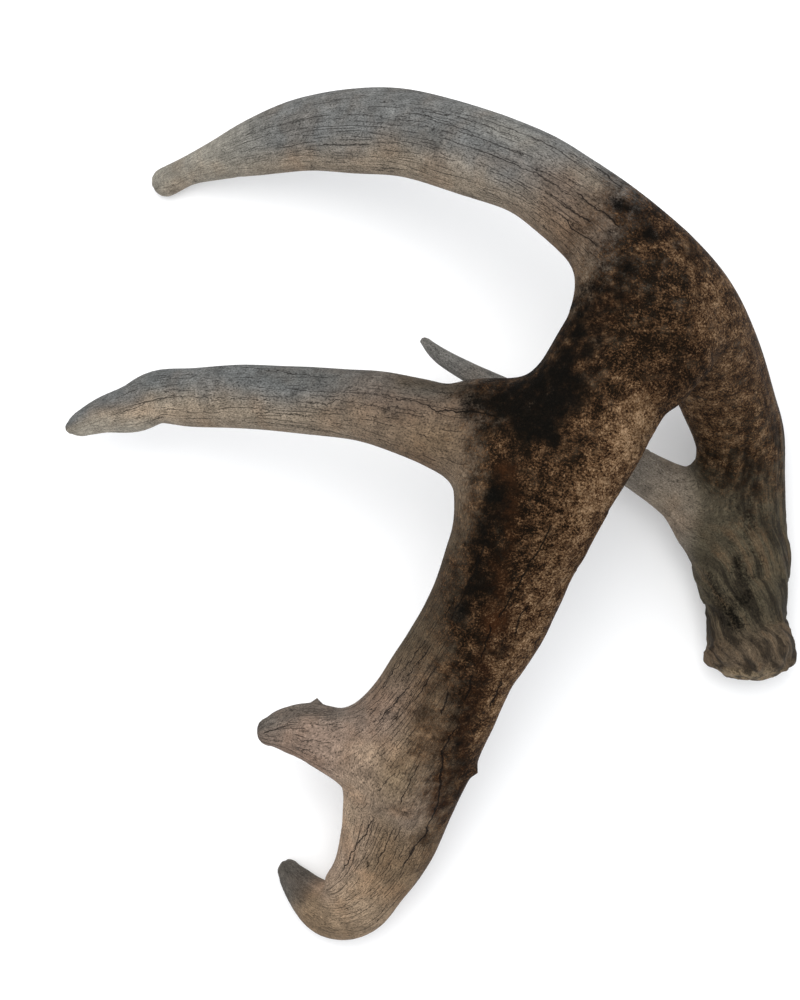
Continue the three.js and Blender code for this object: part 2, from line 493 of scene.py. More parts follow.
COOL_GREY = srgb(97, 98, 97)
DULL_GREY = srgb(82, 83, 81)
WARM_GREY = srgb(126, 114, 99)
TIP_GREY = srgb(139, 133, 121)
ROOT_GREY = srgb(95, 79, 64)
PINK_BONE = srgb(124, 106, 93)
BEIGE_BONE = srgb(107, 89, 69)
YELLOW_BONE = srgb(112, 95, 69)
PALE_BONE = srgb(148, 128, 106)
OLIVE_BONE = srgb(62, 53, 40)
END_GREY = srgb(84, 79, 73)
MOSS_AND_SHADE = srgb(63, 57, 42)
SEAL_BONE = srgb(128, 112, 88)

MARK_FALLOFF = 1.4  # how steeply a soft mark fades: it keeps a quarter of its strength at its edge


def plan(points):
    """Places as seen from straight above at the lens, one unit to a picture point."""
    scale = PLAN_POINT * (CAMERA_HEIGHT - points[:, 2] * MM) / CAMERA_REACH
    across = IMAGE_WIDTH / 2 + (points[:, 0] - CAMERA_X / MM) / scale
    down = IMAGE_HEIGHT / 2 - (points[:, 1] - CAMERA_Y / MM) / scale
    return across, down


def patch(seen, x, y, long, short, angle=0):
    """A soft oval on the plan: 1 in the middle, a quarter at its edge and 0 far outside."""
    turn = math.radians(angle)
    dx = seen[0] - x
    dy = seen[1] - y
    u = (dx * math.cos(turn) - dy * math.sin(turn)) / long
    v = (dx * math.sin(turn) + dy * math.cos(turn)) / short
    return np.exp(-(u * u + v * v) * MARK_FALLOFF)


def band_along(seen, row, width):
    """A soft band along a row of plan places."""
    return np.exp(-(row_distance(seen, row)[0] / width) ** 2 * MARK_FALLOFF)


def add_marks(seen, marks):
    """The sum of soft marks, each a strength with a band's row and width or an oval's numbers."""
    total = np.zeros(len(seen[0]))
    for strength, *mark in marks:
        shape = band_along if isinstance(mark[0], list) else patch
        total += strength * shape(seen, *mark)
    return total


def row_distance(seen, row):
    """Distance to a row of plan places, its sign by side, and how far along the row it is met."""
    row = np.array(row, float)
    best = np.full(len(seen[0]), np.inf)
    signed = np.zeros(len(best))
    met = np.zeros(len(best))
    for i in range(len(row) - 1):
        step = row[i + 1] - row[i]
        length = math.hypot(*step)
        dx = seen[0] - row[i, 0]
        dy = seen[1] - row[i, 1]
        t = np.clip((dx * step[0] + dy * step[1]) / length**2, 0, 1)
        gap = np.hypot(dx - t * step[0], dy - t * step[1])
        side = np.sign(dx * step[1] - dy * step[0])
        closer = gap < best
        best[closer] = gap[closer]
        signed[closer] = (gap * side)[closer]
        met[closer] = ((i + t) / (len(row) - 1))[closer]
    return best, signed, met


# Where pale bone on the left gives way to brown skin on the right, from the far side of the
# second tine's root round both upper gaps and down the beam.
BROWN_EDGE = [(655, 110), (618, 170), (602, 210), (588, 255), (570, 285), (540, 310), (500, 352),
              (464, 376), (464, 405), (466, 440), (470, 490), (460, 530), (442, 575), (436, 630),
              (428, 690), (416, 750), (420, 800), (428, 850), (450, 900)]


def beam_share(place):
    """The beam with its tines' roots from the elbow down, and less of it towards the burr."""
    rise = place.share["back"] * smooth(-10, SECOND_FORK - 40, place.back_reach)
    return np.clip(place.share["front"] + rise + place.share["third"] + place.share["fourth"], 0, 1)


def brown_skin(place, seen):
    """How far each point is inside the brown part of the beam, as a share that can be broken up."""
    signed = row_distance(seen, BROWN_EDGE)[1]
    width = 26 + 22 * smooth(560, 660, seen[1]) + 12 * smooth(470, 420, seen[1])
    width += 12 * smooth(300, 220, seen[1])
    return beam_share(place) * np.clip(0.5 + signed / width / 2, 0, 1)


def near_end(branch, reach, far, near):
    """0 farther than far from a branch's end, and 1 nearer to it than near."""
    return smooth(branch.reach[-1] - far, branch.reach[-1] - near, reach)


# Ovals of another colour: colour, strength, x, y, half length, half width and angle.
# The DULL_GREY ovals here darken the third tine's north edge: more painted shade on that side.
THIRD_OVALS = [
    (DULL_GREY, 0.7, 310, 378, 90, 18),
    (DULL_GREY, 0.5, 165, 384, 44, 10),
    (PALE_BONE, 0.5, 160, 414, 44, 10),
    (DULL_GREY, 0.6, 430, 390, 40, 10),
]
SECOND_OVALS = [
    (DULL_GREY, 0.6, 425, 140, 34, 16),
    (TIP_GREY, 0.35, 512, 134, 44, 14, -25),
    (WARM_GREY, 0.6, 588, 176, 30, 14, -35),
]
BEAM_OVALS = [
    (YELLOW_BONE, 0.6, 396, 778, 36, 44),
    (BEIGE_BONE, 0.8, 438, 440, 44, 26),
    (OLIVE_BONE, 0.15, 442, 448, 34, 24),
    (PALE_BONE, 0.5, 370, 752, 26, 16),
    (END_GREY, 0.6, 264, 728, 30, 22),
    (PALE_BONE, 0.85, 354, 905, 54, 34, -30),
    (PALE_BONE, 0.8, 350, 820, 24, 60),
]
THIRD_ROOT_TOP = [(405, 380), (440, 386), (490, 398)]


class Coat:
    """The broad colour of each point, before skin, grain and stains, painted in layers."""

    def __init__(self, points, place, seen, uneven):
        self.points = points
        self.place = place
        self.seen = seen
        self.uneven = uneven
        self.colour = np.tile(WARM_GREY, (len(points), 1))

    def paint(self, new, amount):
        amount = np.clip(amount, 0, 1)[:, None]
        self.colour = self.colour * (1 - amount) + new * amount

    def paint_ovals(self, ovals, where=1):
        for new, strength, *oval in ovals:
            self.paint(new, where * strength * patch(self.seen, *oval))

    def paint_tines(self):
        place = self.place
        share = place.share
        second = share["back"] * smooth(SECOND_FORK + 5, SECOND_FORK + 45, place.back_reach)
        second_end = near_end(back, place.back_reach, 75, 25)
        third_end = near_end(third, place.third_reach, 70, 25)
        second_side = place.side["back"] + 0.25 * self.uneven
        third_side = place.side["third"] + 0.25 * self.uneven
        # The north half of the second and third tines, seen from above, is painted a darker, cooler
        # grey than the south half: painted shade on that side.
        shaded_side = smooth(-0.95, -0.05, second_side - 0.3 * second_end)
        self.paint(COOL_GREY, second * shaded_side * 0.95)
        self.paint(COOL_GREY, share["third"] * smooth(-0.45, 0.55, third_side - 0.15 * third_end))
        self.paint(COOL_GREY, share["brow"] * 0.8)
        self.paint(TIP_GREY, second * second_end * 0.8)
        self.paint(TIP_GREY, share["third"] * third_end * smooth(0.5, -0.5, third_side) * 0.9)
        second_root = smooth(SECOND_FORK + 85, SECOND_FORK + 35, place.back_reach)
        third_root = smooth(THIRD_FORK + 125, THIRD_FORK + 55, place.third_reach)
        self.paint(ROOT_GREY, second * second_root * smooth(0.9, 0.1, second_side))
        self.paint(ROOT_GREY, share["third"] * third_root * 0.85)
        self.paint_ovals(THIRD_OVALS, share["third"])
        self.paint_ovals(SECOND_OVALS, second)

    def paint_beam(self):
        place = self.place
        seen = self.seen
        beam = place.share["front"]
        self.paint(BEIGE_BONE, beam)
        near = smooth(0.1, 0.75, place.side["front"])
        self.paint(PINK_BONE, beam * near * smooth(640, 720, seen[1]))
        self.paint(OLIVE_BONE, beam * smooth(445, 515, seen[1]) * smooth(740, 610, seen[1]) * 0.9)
        self.paint(OLIVE_BONE, 0.7 * band_along(seen, THIRD_ROOT_TOP, 14))
        self.paint(PINK_BONE, place.share["fourth"] + patch(seen, 345, 738, 48, 28))
        # The north half of the fourth tine is painted a darker grey: painted shade on that side.
        fourth_shaded_side = smooth(0.05, 0.8, place.side["fourth"] + 0.2 * self.uneven)
        self.paint(END_GREY, place.share["fourth"] * fourth_shaded_side * 0.8)
        self.paint_ovals(BEAM_OVALS)
        # The last few millimetres of the hooked end are painted a darker grey: painted shade where
        # the end faces away from the light.
        self.paint(END_GREY, beam * near_end(front, place.front_reach, 20, 6))

    def paint_base(self):
        place = self.place
        share = place.share
        brow_root = smooth(BROW_FORK + 80, BROW_FORK + 30, place.reach)
        self.paint(WARM_GREY, share["brow"] * brow_root * 0.7)
        # The right side of the base is painted a dark moss colour: partly the bone's own dark
        # colour, partly painted shade on the side turned from the light.
        mossy_and_shaded = smooth(SECOND_FORK - 30, SECOND_FORK - 70, place.back_reach)
        mossy_and_shaded *= smooth(100, 112, self.points[:, 0])
        self.paint(MOSS_AND_SHADE, (share["back"] + share["brow"]) * mossy_and_shaded * 0.9)
        self.paint(ROOT_GREY, share["back"] * smooth(26, 10, place.back_reach) * 0.5)
        self.paint(SEAL_BONE, share["back"] * smooth(2.5, -1, place.back_reach) * 0.9)
        # A paler patch on the brow tine's root, where the beam's shadow falls: painted light that
        # lifts that shadow.
        self.paint(WARM_GREY, share["brow"] * patch(self.seen, 668, 505, 34, 26))


def bone_colour(points, place, seen, uneven):
    coat = Coat(points, place, seen, uneven)
    coat.paint_tines()
    coat.paint_beam()
    coat.paint_base()
    return np.c_[coat.colour, np.ones(len(points))]


# Soft marks: strength, then the row and width of a band, or x, y and sizes of an oval.
CROTCH = [(608, 284), (592, 305), (585, 330), (562, 368), (527, 395), (486, 400), (470, 396)]
STAINS_AND_SHADE = [
    (0.62, CROTCH, 31),
    (0.7, 548, 402, 56, 34, 35),
    (0.45, 553, 440, 16, 28),
    (0.5, [(492, 480), (486, 520), (474, 560), (462, 610)], 15),
    (0.6, 617, 203, 22, 16, -30),
    (0.8, 648, 231, 10, 16),
    (0.6, 629, 268, 12, 9),
    (0.25, 620, 236, 40, 34),
    # Painted shade: the near-black oval inside the round hole darkens the pit.
    (0.9, 367, 865, 2.5, 4),  # inside the round hole
    (0.4, 690, 250, 40, 12, -40),
    (0.5, 497, 650, 20, 12),
    (0.4, 566, 402, 32, 16),
    (0.35, 530, 430, 30, 18),
    (0.6, 505, 503, 16, 24),
    (0.4, 488, 590, 14, 26),
    (0.35, 456, 622, 12, 18, 20),
    # The dark band down the base's right side is partly stain, partly painted shade on the side
    # turned from the light.
    (0.45, [(752, 470), (746, 560), (738, 620)], 20),
    (0.4, [(468, 700), (455, 760), (440, 800)], 12),
    (0.6, [(703, 563), (716, 592), (735, 622)], 8),
]
FLECKS = [
    (0.5, [(640, 425), (602, 490), (560, 585), (514, 680), (486, 735)], 26),
    (0.45, 712, 322, 26, 40, -10),
    (0.5, 618, 430, 38, 34),
    (0.35, 596, 490, 22, 34, 25),
    (0.2, [(575, 495), (540, 570), (500, 690)], 22),
    (0.25, 702, 272, 30, 44, 30),
    (0.35, 644, 406, 26, 26),
    (0.3, 674, 250, 20, 18),
    (-0.25, 650, 292, 24, 52, -20),
    (-0.4, [(510, 480), (500, 540), (488, 595)], 18),
    (-0.25, [(478, 690), (456, 756)], 20),
]
RUST_MARKS = [
    (0.8, 506, 470, 24, 14),
    (0.5, [(512, 500), (505, 560), (496, 620)], 18),
    (0.5, [(496, 620), (478, 690), (460, 755), (438, 812)], 20),
    (0.4, 430, 805, 16, 26, -20),
    (0.35, 418, 850, 14, 16),
    (0.4, 395, 418, 24, 12),
    (0.45, 620, 300, 46, 24, 40),
]


def stain_and_shade(seen, place):
    """Where the bone is stained nearly black, with painted shade in the round hole and down the
    base's right side.
    """
    return np.clip(add_marks(seen, STAINS_AND_SHADE), 0, 1) * (1 - place.share["brow"])


def flecks(seen, place):
    """Where the brown skin is worn through to tan flecks."""
    amount = add_marks(seen, FLECKS)
    behind = smooth(SECOND_FORK + 10, SECOND_FORK - 30, place.back_reach)
    amount += 0.3 * place.share["back"] * behind
    return np.clip(amount, -0.4, 1)


def rust(seen, place):
    """Where the bone is orange or reddish brown."""
    return np.clip(add_marks(seen, RUST_MARKS), 0, 1) * (1 - place.share["brow"])


def weathered(place):
    """Where the skin is dry and cracked: less towards the worn tips."""
    share = place.share
    ends = share["back"] * near_end(back, place.back_reach, 85, 30)
    ends += share["third"] * near_end(third, place.third_reach, 45, 12)
    ends += share["front"] * near_end(front, place.front_reach, 45, 20)
    ends += 0.6 * share["brow"]
    return np.clip(1 - 0.8 * ends, 0, 1)


# Open cracks on the upper side, as rows of plan places.
LONG_CRACKS = [
    [(461, 718), (443, 751), (442, 767), (438, 800), (432, 816), (424, 836), (412, 851),
     (395, 883)],
    [(374, 816), (364, 836), (352, 853), (342, 873)],
    [(447, 622), (428, 651), (416, 667), (397, 685)],
    [(412, 685), (389, 708), (378, 722)],
    [(391, 730), (367, 747)],
    [(503, 679), (489, 708)],
    [(473, 673), (465, 702)],
    [(448, 689), (440, 716)],
    [(554, 521), (533, 559), (506, 607), (497, 618)],
    [(488, 537), (480, 556), (471, 579), (456, 612), (436, 638)],
    [(530, 604), (520, 618), (514, 636)],
    [(425, 405), (435, 411), (466, 411), (500, 416)],
    [(591, 162), (602, 171), (614, 181), (624, 190)],
    [(574, 190), (590, 204), (598, 210), (608, 217), (621, 228)],
    [(560, 204), (578, 214), (590, 224)],
    [(563, 217), (575, 231), (588, 240), (599, 247)],
]
THIN_CRACKS = [
    [(456, 596), (444, 618), (431, 640)],
    [(428, 636), (406, 668), (392, 684)],
    [(405, 655), (393, 674), (380, 690)],
    [(438, 664), (425, 686), (412, 702)],
    [(400, 712), (386, 730), (372, 743)],
    [(492, 622), (486, 642), (480, 660)],
    [(420, 760), (408, 786), (400, 806)],
    [(396, 826), (384, 850), (376, 866)],
]
LONG_OPENNESS = 1.0
THIN_OPENNESS = 0.65
CRACK_TAPER = 0.12  # share of a crack's length in which it opens, at each end
FULLY_OPEN = 6  # plan points from a crack's row within which it may be open
NEVER_OPEN = 9  # and beyond which it never is
NECK = (3, 6)  # how much farther off the next crack is where it is shut, and where it isn't


def drawn_cracks(seen, upward):
    """Signed distance to the nearest crack in millimetres, and how open it is there."""
    nearest = np.full(len(seen[0]), np.inf)
    second = np.full(len(nearest), np.inf)
    signed = np.zeros(len(nearest))
    openness = np.zeros(len(nearest))
    full = [LONG_OPENNESS] * len(LONG_CRACKS) + [THIN_OPENNESS] * len(THIN_CRACKS)
    for row, most in zip(LONG_CRACKS + THIN_CRACKS, full):
        gap, side, met = row_distance(seen, row)
        closer = gap < nearest
        second = np.where(closer, nearest, np.minimum(second, gap))
        nearest[closer] = gap[closer]
        signed[closer] = side[closer]
        taper = smooth(0, CRACK_TAPER, met) * smooth(1, 1 - CRACK_TAPER, met)
        openness[closer] = (most * taper * smooth(NEVER_OPEN, FULLY_OPEN, gap))[closer]
    # The sign flips halfway between two cracks, so they shut there.
    openness *= smooth(*NECK, second - nearest)
    return signed * PLAN_POINT, openness * smooth(0.0, 0.3, upward)


# ---------------- the mesh


def add_object(name, data):
    obj = bpy.data.objects.new(name, data)
    bpy.context.scene.collection.objects.link(obj)
    return obj


def make_mesh(points, quads):
    mesh = bpy.data.meshes.new("antler")
    mesh.from_pydata((points * MM).tolist(), [], quads.tolist())
    mesh.shade_smooth()
    return add_object("antler", mesh)


def normals_of(mesh):
    values = np.empty(len(mesh.vertices) * 3, np.float32)
    mesh.vertex_normals.foreach_get("vector", values)
    return values.reshape(-1, 3).astype(float)


def store(mesh, name, values):
    """Keep one value a point: a number, a direction or a colour."""
    kinds = {1: ("FLOAT", "value"), 3: ("FLOAT_VECTOR", "vector"), 4: ("FLOAT_COLOR", "color")}
    values = np.asarray(values, np.float32)
    width = 1 if values.ndim == 1 else values.shape[1]
    kind, key = kinds[width]
    mesh.attributes.new(name, kind, "POINT").data.foreach_set(key, values.ravel())


def unit(vectors):
    return vectors / np.maximum(np.linalg.norm(vectors, axis=1), 1e-9)[:, None]


def make_antler():
    points, quads, outline, low = make_skin()
    lines = spread_lines(outline, low)
    obj = make_mesh(points, quads)
    mesh = obj.data
    normals = normals_of(mesh)
    place = Place(points, lines, low)

    # How the growth coordinates change with each millimetre round the branch.
    sideways = unit(np.cross(normals, place.along))
    ahead = Place(points + sideways / 2, lines, low)
    behind = Place(points - sideways / 2, lines, low)

    seen = plan(points)
    uneven = soft_noise(points / 16, 21) + 0.5 * soft_noise(points / 7, 22)
    signed, openness = drawn_cracks(seen, normals[:, 2] * (1 - place.share["brow"]))
    root = smooth(SECOND_FORK - 15, SECOND_FORK - 55, place.back_reach) * place.share["back"]
    looks = {
        "bone": bone_colour(points, place, seen, uneven),
        "brown": brown_skin(place, seen),
        "stain_and_shade": stain_and_shade(seen, place),
        "flecks": flecks(seen, place),
        "rust": rust(seen, place),
        "crack_side": signed,
        "crack_open": openness,
        "spot": points,
        "flow": place.flow,
        "flow_step": ahead.flow - behind.flow,
        "tube": place.tube,
        "tube_step": ahead.tube - behind.tube,
        "base": root * smooth(SECOND_FORK - 50, SECOND_FORK - 100, place.back_reach),
        "in_tube": np.clip(root + place.share["brow"], 0, 1),
        "weathered": weathered(place),
    }
    for name, values in looks.items():
        store(mesh, name, values)

    raised = points + normals * relief(points, place)[:, None]
    raised[:, 2] = np.maximum(raised[:, 2], 0)
    mesh.vertices.foreach_set("co", (raised * MM).astype(np.float32).ravel())
    mesh.update()
    print("antler:", len(mesh.vertices), "points,", 2 * len(mesh.polygons), "triangles")
    return obj


# ---------------- material


class Shading:
    """Short names for the shader nodes used here. Inputs are sockets, numbers or colours."""

    def __init__(self, name):
        self.material = bpy.data.materials.new(name)
        self.material.use_nodes = True
        self.tree = self.material.node_tree
        self.surface = self.tree.nodes["Principled BSDF"]

    def put(self, socket, value):
        if isinstance(value, bpy.types.NodeSocket):
            self.tree.links.new(value, socket)
        elif value is not None:
            socket.default_value = value

    def node(self, kind, inputs=(), **settings):
        """A new node whose first inputs get the values given, except where one is None."""
        node = self.tree.nodes.new(kind)
        for key, value in settings.items():
            setattr(node, key, value)
        for socket, value in zip(node.inputs, inputs):
            self.put(socket, value)
        return node

    def stored(self, name, output="Fac"):
        """What the mesh keeps under a name, as a number or else as "Vector" or "Color"."""
        return self.node("ShaderNodeAttribute", attribute_name=name).outputs[output]

    def math(self, operation, a, b=None, clamp=False):
        node = self.node("ShaderNodeMath", (a, b), operation=operation, use_clamp=clamp)
        return node.outputs[0]

    def plus(self, a, b, clamp=False):
        return self.math("ADD", a, b, clamp)

    def times(self, a, b):
        return self.math("MULTIPLY", a, b)

    def vector_math(self, operation, a, b):
        return self.node("ShaderNodeVectorMath", (a, b), operation=operation).outputs[0]

    def step(self, value, low, high, start=0.0, end=1.0):
        """A soft step from start to end while the value goes from low to high."""
        inputs = (value, low, high, start, end)
        return self.node("ShaderNodeMapRange", inputs, interpolation_type="SMOOTHSTEP").outputs[0]

    def noise(self, vector, size, detail=2.0, roughness=0.5, seed=0.0):
        """Noise between about 0.3 and 0.7 whose lumps have the size given, in millimetres."""
        sizes = size if isinstance(size, tuple) else (size, size, size)
        scaled = self.vector_math("DIVIDE", vector, sizes)
        moved = self.vector_math("ADD", scaled, (seed * 7.3, seed * 3.1, seed * 5.7))
        inputs = (moved, None, 1.0, detail, roughness)
        return self.node("ShaderNodeTexNoise", inputs).outputs["Fac"]

    def blend(self, amount, a, b, kind="MIX"):
        inputs = (amount, None, None, None, None, None, a, b)  # colours come seventh and eighth
        settings = {"data_type": "RGBA", "blend_type": kind, "clamp_factor": True}
        return self.node("ShaderNodeMix", inputs, **settings).outputs[2]

    def between(self, amount, a, b):
        inputs = (amount, None, a, b)
        return self.node("ShaderNodeMix", inputs, data_type="FLOAT", clamp_factor=True).outputs[0]

    def swing(self, noise, amount):
        """Noise as a number that swings evenly round zero."""
        return self.times(self.math("SUBTRACT", noise, 0.5), amount)

    def brighten(self, colour, amount):
        """The colour times a number."""
        grey = self.node("ShaderNodeCombineXYZ", (amount, amount, amount))
        return self.vector_math("MULTIPLY", colour, grey.outputs[0])


def paint_of(red, green, blue):
    return (*srgb(red, green, blue).tolist(), 1.0)


CRACK_DARK = paint_of(16, 12, 9)
STAIN_AND_SHADE_DARK = paint_of(9, 8, 6)
BROWN_DARK = paint_of(14, 8, 4)
BROWN_MIDDLE = paint_of(62, 42, 26)
BROWN_TAN = paint_of(108, 84, 60)
BROWN_LIGHT = paint_of(146, 120, 93)
RUST_BROWN = paint_of(56, 33, 17)
WARM_TINT = (1.03, 0.92, 0.84, 1)
# How far the brown skin is worn where each of its colours begins and ends to show.
BROWN_STEPS = [(-0.3, 0.4, BROWN_MIDDLE), (0.25, 1.05, BROWN_TAN), (0.85, 1.55, BROWN_LIGHT)]

# Sizes of the patterns in the bone. Three numbers are across the growth, in depth and along it.
LONG_CRACK_SIZE = (4.8, 7.0, 75.0)
HAIR_CRACK_SIZE = (1.9, 3.0, 24.0)
CRACK_PUSH_SIZE = (1.6, 1.6, 4.5)
STREAK_SIZE = (1.1, 1.6, 16.0)
STIPPLE_SIZE = (0.42, 0.42, 0.85)
GUTTER_SIZE = (4.4, 4.4, 30.0)
CLOUD_SIZE = 17.0
RAGGED_SIZE = 7.0
MOTTLE_SIZE = 6.0
SMEAR_SIZE = 6.0
BLOTCH_SIZE = 4.5
JAG_SIZE = 5.0
SMALL_JAG_SIZE = 1.6
GRIT_SIZE = 0.8

LONG_CRACK_WIDTH = 0.24
HAIR_CRACK_WIDTH = 0.19
DRAWN_CRACK_WIDTHS = (0.52, 0.36)  # on brown skin and on bare bone
FLOW_NOISE_STEP = 0.35  # millimetres between the two looks that give a crack its even width


class AntlerBone(Shading):
    """The material of the antler. Each layer takes the colour below it and returns the new one."""

    def __init__(self):
        super().__init__("antler_bone")
        self.spot = self.stored("spot", "Vector")
        self.in_tube = self.stored("in_tube")
        self.base = self.stored("base")
        patterns = zip(self.growth_pattern("flow"), self.growth_pattern("tube"))
        self.long, self.hair, self.streak, self.stipple = [
            self.between(self.in_tube, a, b) for a, b in patterns
        ]
        self.mottle = self.noise(self.spot, MOTTLE_SIZE, 5.0, 0.65, 5.0)
        self.grit = self.noise(self.spot, GRIT_SIZE, 4.0, 0.75, 8.0)
        self.ragged = self.noise(self.spot, RAGGED_SIZE, 7.0, 0.68, 7.0)
        self.gutter = self.noise(self.stored("tube", "Vector"), GUTTER_SIZE, 4.0, 0.6, 14.0)
        self.skin = self.skin_cover()
        self.bare = self.math("SUBTRACT", 1.0, self.skin)
        self.worn = self.skin_wear()
        self.black = self.stain_and_shade_cover()
        self.cracks = self.crack_cover()
        self.colour_the_bone()
        self.polish()
        self.roughen()

    def open_cracks(self, vector, step, size, width, share, seed):
        """Thin lines of even width that run along the growth and come and go."""
        push = self.swing(self.noise(vector, CRACK_PUSH_SIZE, 3.0, 0.6, seed + 4), 0.3)
        here = self.noise(vector, size, 1.0, 0.5, seed)
        near = self.vector_math("MULTIPLY", step, (FLOW_NOISE_STEP,) * 3)
        there = self.noise(self.vector_math("ADD", vector, near), size, 1.0, 0.5, seed)
        change = self.math("SUBTRACT", there, here)
        slope = self.math("ABSOLUTE", self.math("DIVIDE", change, FLOW_NOISE_STEP))
        level = self.math("ABSOLUTE", self.math("SUBTRACT", self.plus(here, push), 0.5))
        gap = self.math("DIVIDE", level, self.math("MAXIMUM", slope, 0.004))
        wander_size = (size[0] * 1.3, size[1] * 1.3, size[2] * 0.6)
        wander = self.noise(vector, wander_size, 2.0, 0.5, seed + 9)
        opening = self.step(wander, 0.62 - 0.24 * share, 0.70 - 0.24 * share)
        opening = self.times(opening, self.stored("weathered"))
        line = self.step(gap, self.times(opening, width), self.times(opening, width * 0.35))
        steep = self.step(self.times(slope, size[0]), 0.10, 0.28)
        return self.times(self.times(line, steep), self.step(opening, 0.0, 0.3))

    def growth_pattern(self, name):
        """Long cracks, hair cracks, fine streaks and stipple that all follow the growth."""
        vector = self.stored(name, "Vector")
        step = self.stored(name + "_step", "Vector")
        long = self.open_cracks(vector, step, LONG_CRACK_SIZE, LONG_CRACK_WIDTH, 0.6, 1.0)
        hair = self.open_cracks(vector, step, HAIR_CRACK_SIZE, HAIR_CRACK_WIDTH, 1.0, 2.0)
        streak = self.noise(vector, STREAK_SIZE, 3.0, 0.6, 3.0)
        stipple = self.noise(vector, STIPPLE_SIZE, 2.0, 0.6, 4.0)
        return long, hair, streak, stipple

    def skin_cover(self):
        """How much brown skin there is on the bone."""
        brown = self.stored("brown")
        rags = self.plus(self.swing(self.ragged, 1.5), self.swing(self.grit, 0.8))
        cover = self.step(self.plus(brown, rags), 0.15, 0.95)
        return self.times(cover, self.step(brown, 0.0, 0.2))

    def skin_wear(self):
        """How far the brown skin is worn through to tan, where it was rubbed."""
        blotch = self.noise(self.spot, BLOTCH_SIZE, 8.0, 0.74, 12.0)
        wear = self.plus(self.swing(blotch, 3.4), self.swing(self.grit, 5.2))
        wear = self.plus(wear, self.swing(self.mottle, 1.8))
        wear = self.plus(wear, self.swing(self.streak, 0.8))
        return self.plus(wear, self.stored("flecks"))

    def stain_and_shade_cover(self):
        """How black the stains and the painted shade are, with ragged edges."""
        smear = self.noise(self.spot, SMEAR_SIZE, 8.0, 0.7, 9.0)
        rags = self.plus(self.swing(smear, 2.4), self.swing(self.grit, 2.0))
        black = self.plus(self.stored("stain_and_shade"), rags)
        return self.step(self.plus(black, self.swing(self.streak, 0.8)), 0.1, 1.0, 0.0, 0.97)

    def jagged_cracks(self):
        """The cracks that the plan draws, made jagged."""
        jag = self.swing(self.noise(self.spot, JAG_SIZE, 2.0, 0.5, 15.0), 3.0)
        small = self.swing(self.noise(self.spot, SMALL_JAG_SIZE, 3.0, 0.6, 11.0), 1.2)
        side = self.plus(self.stored("crack_side"), self.plus(jag, small))
        opened = self.stored("crack_open")
        wide = self.times(opened, self.between(self.bare, *DRAWN_CRACK_WIDTHS))
        line = self.step(self.math("ABSOLUTE", side), wide, self.times(wide, 0.33))
        return self.times(line, self.step(opened, 0.05, 0.3))

    def crack_cover(self):
        """All cracks. Those that follow the growth show less through brown skin."""
        long = self.times(self.long, self.between(self.in_tube, 0.85, 0.5))
        hair = self.times(self.hair, self.between(self.in_tube, 0.7, 0.3))
        grown = self.times(self.math("MAXIMUM", long, hair), self.between(self.bare, 0.35, 1.0))
        return self.math("MAXIMUM", grown, self.jagged_cracks())

    def bone_layer(self):
        """The bone's own colour, broadly uneven."""
        bone = self.stored("bone", "Color")
        bone = self.brighten(bone, self.step(self.mottle, 0.3, 0.7, 0.78, 1.18))
        cloud = self.noise(self.spot, CLOUD_SIZE, 3.0, 0.5, 6.0)
        warm = self.blend(1.0, bone, WARM_TINT, "MULTIPLY")
        bone = self.blend(self.step(cloud, 0.45, 0.68, 0.0, 0.6), bone, warm)
        return self.brighten(bone, self.step(self.streak, 0.3, 0.7, 0.82, 1.16))

    def skin_layer(self, bone):
        brown = BROWN_DARK
        for low, high, colour in BROWN_STEPS:
            brown = self.blend(self.step(self.worn, low, high), brown, colour)
        return self.blend(self.times(self.skin, 0.98), bone, brown)

    def rust_layer(self, bone):
        rusty = self.plus(self.stored("rust"), self.swing(self.ragged, 1.5))
        rusty = self.step(rusty, 0.2, 1.1, 0.0, 0.8)
        amount = self.times(rusty, self.step(self.worn, 1.0, 0.1, 0.2, 1.0))
        return self.blend(amount, bone, RUST_BROWN)

    def gutter_layer(self, bone):
        """Dirt in the gutters of the base, and rubbed ridges between them."""
        dirt = self.times(self.step(self.gutter, 0.54, 0.40), self.base)
        bone = self.blend(self.times(dirt, 0.7), bone, BROWN_DARK)
        ridge = self.times(self.step(self.gutter, 0.54, 0.66), self.base)
        return self.blend(self.times(ridge, 0.3), bone, BROWN_TAN)

    def grain_layer(self, bone):
        """Fine light and dark grain, and dark specks."""
        uneven = self.math("SUBTRACT", self.stipple, 0.5)
        grain = self.times(self.between(self.bare, 1.8, 2.5), uneven)
        bone = self.brighten(bone, self.plus(1.0, grain))
        specks = self.step(self.stipple, 0.42, 0.33)
        specks = self.times(specks, self.between(self.bare, 0.15, 0.38))
        specks = self.times(specks, self.between(self.in_tube, self.stored("weathered"), 0.4))
        return self.blend(specks, bone, CRACK_DARK)

    def colour_the_bone(self):
        bone = self.bone_layer()
        for layer in (self.skin_layer, self.rust_layer, self.gutter_layer):
            bone = layer(bone)
        bone = self.blend(self.black, bone, STAIN_AND_SHADE_DARK)
        bone = self.grain_layer(bone)
        bone = self.blend(self.times(self.cracks, 0.9), bone, CRACK_DARK)
        self.put(self.surface.inputs["Base Color"], bone)

    def polish(self):
        """How rough and how shiny the bone, its skin, and its stains and painted shade are."""
        inputs = self.surface.inputs
        rough = self.between(self.bare, 0.6, 0.78)
        rough = self.plus(rough, self.swing(self.stipple, 0.3), clamp=True)
        self.put(inputs["Roughness"], rough)
        dark = self.math("MAXIMUM", self.black, self.skin)
        self.put(inputs["Specular IOR Level"], self.between(dark, 0.12, 0.02))

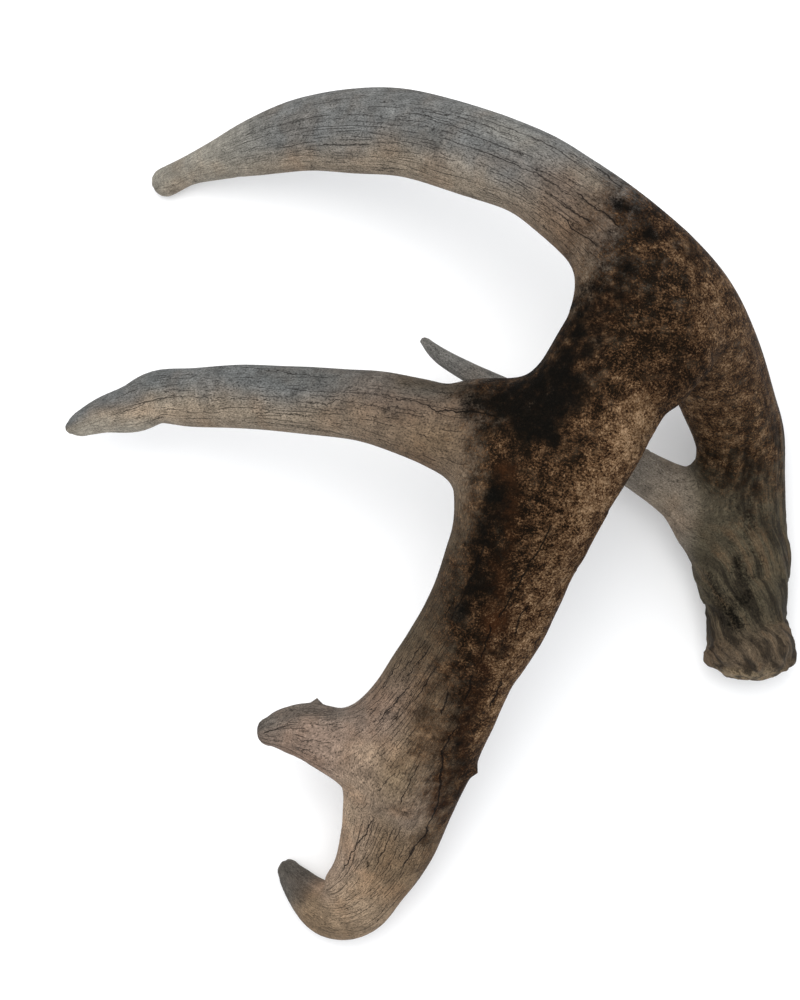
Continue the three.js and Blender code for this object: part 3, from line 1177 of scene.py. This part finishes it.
    def roughen(self):
        """Fine relief: cracks are sunk, and the other patterns rise."""
        patterns = [
            (self.stipple, 0.22),
            (self.times(self.gutter, self.base), 2.0),
            (self.streak, 0.30),
            (self.times(self.grit, self.skin), 0.25),
        ]
        height = self.times(self.cracks, -0.30)
        for pattern, rise in patterns:
            height = self.plus(height, self.times(pattern, rise))
        bump = self.node("ShaderNodeBump")
        bump.inputs["Distance"].default_value = MM
        self.put(bump.inputs["Height"], height)
        self.put(self.surface.inputs["Normal"], bump.outputs["Normal"])


antler = make_antler()
antler.data.materials.append(AntlerBone().material)
bpy.context.view_layer.update()
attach(antler, "root")
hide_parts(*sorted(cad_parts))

# ---------------- floor, light, camera

FLOOR_SIZE = 6.0
FLOOR_WHITE = (0.9, 0.9, 0.9, 1)
FLOOR_GLOW = 0.12  # its own light, which keeps it as white as in the photo
SKY_COLOUR = (0.95, 0.97, 1.0, 1)
SOFTBOX_PLACE = (-0.15, 0.45, 1.4)
SOFTBOX_TARGET = (0, 0, 0.05)
SOFTBOX_SIZE = 1.0
SOFTBOX_POWER = 13
SOFTBOX_COLOUR = (1.0, 0.99, 0.97)


def make_floor():
    bpy.ops.mesh.primitive_plane_add(size=FLOOR_SIZE)
    floor = bpy.context.object
    floor.name = "floor"
    paper = bpy.data.materials.new("white_paper")
    paper.use_nodes = True
    shader = paper.node_tree.nodes["Principled BSDF"]
    looks = {
        "Base Color": FLOOR_WHITE,
        "Roughness": 0.9,
        "Specular IOR Level": 0.1,
        "Emission Color": (1, 1, 1, 1),
        "Emission Strength": FLOOR_GLOW,
    }
    for name, value in looks.items():
        shader.inputs[name].default_value = value
    floor.data.materials.append(paper)


def make_camera():
    data = bpy.data.cameras.new("camera")
    data.sensor_fit = "VERTICAL"
    data.sensor_height = SENSOR_HEIGHT
    data.lens = SENSOR_HEIGHT * CAMERA_REACH / (IMAGE_SCALE * IMAGE_HEIGHT)
    data.clip_start = 0.01
    camera = add_object("camera", data)
    camera.location = (CAMERA_X, CAMERA_Y, CAMERA_HEIGHT)
    bpy.context.scene.camera = camera


def make_softbox():
    data = bpy.data.lights.new("softbox", "AREA")
    data.shape = "SQUARE"
    data.size = SOFTBOX_SIZE
    data.energy = SOFTBOX_POWER
    data.color = SOFTBOX_COLOUR
    lamp = add_object("softbox", data)
    lamp.location = SOFTBOX_PLACE
    towards = Vector(SOFTBOX_TARGET) - Vector(SOFTBOX_PLACE)
    lamp.rotation_euler = towards.to_track_quat("-Z", "Y").to_euler()
    lamp.visible_camera = False


def make_sky():
    world = bpy.data.worlds.new("studio")
    world.use_nodes = True
    background = world.node_tree.nodes["Background"]
    background.inputs["Color"].default_value = SKY_COLOUR
    bpy.context.scene.world = world


make_floor()
make_camera()
make_sky()
make_softbox()
bpy.context.scene.view_settings.view_transform = "Standard"
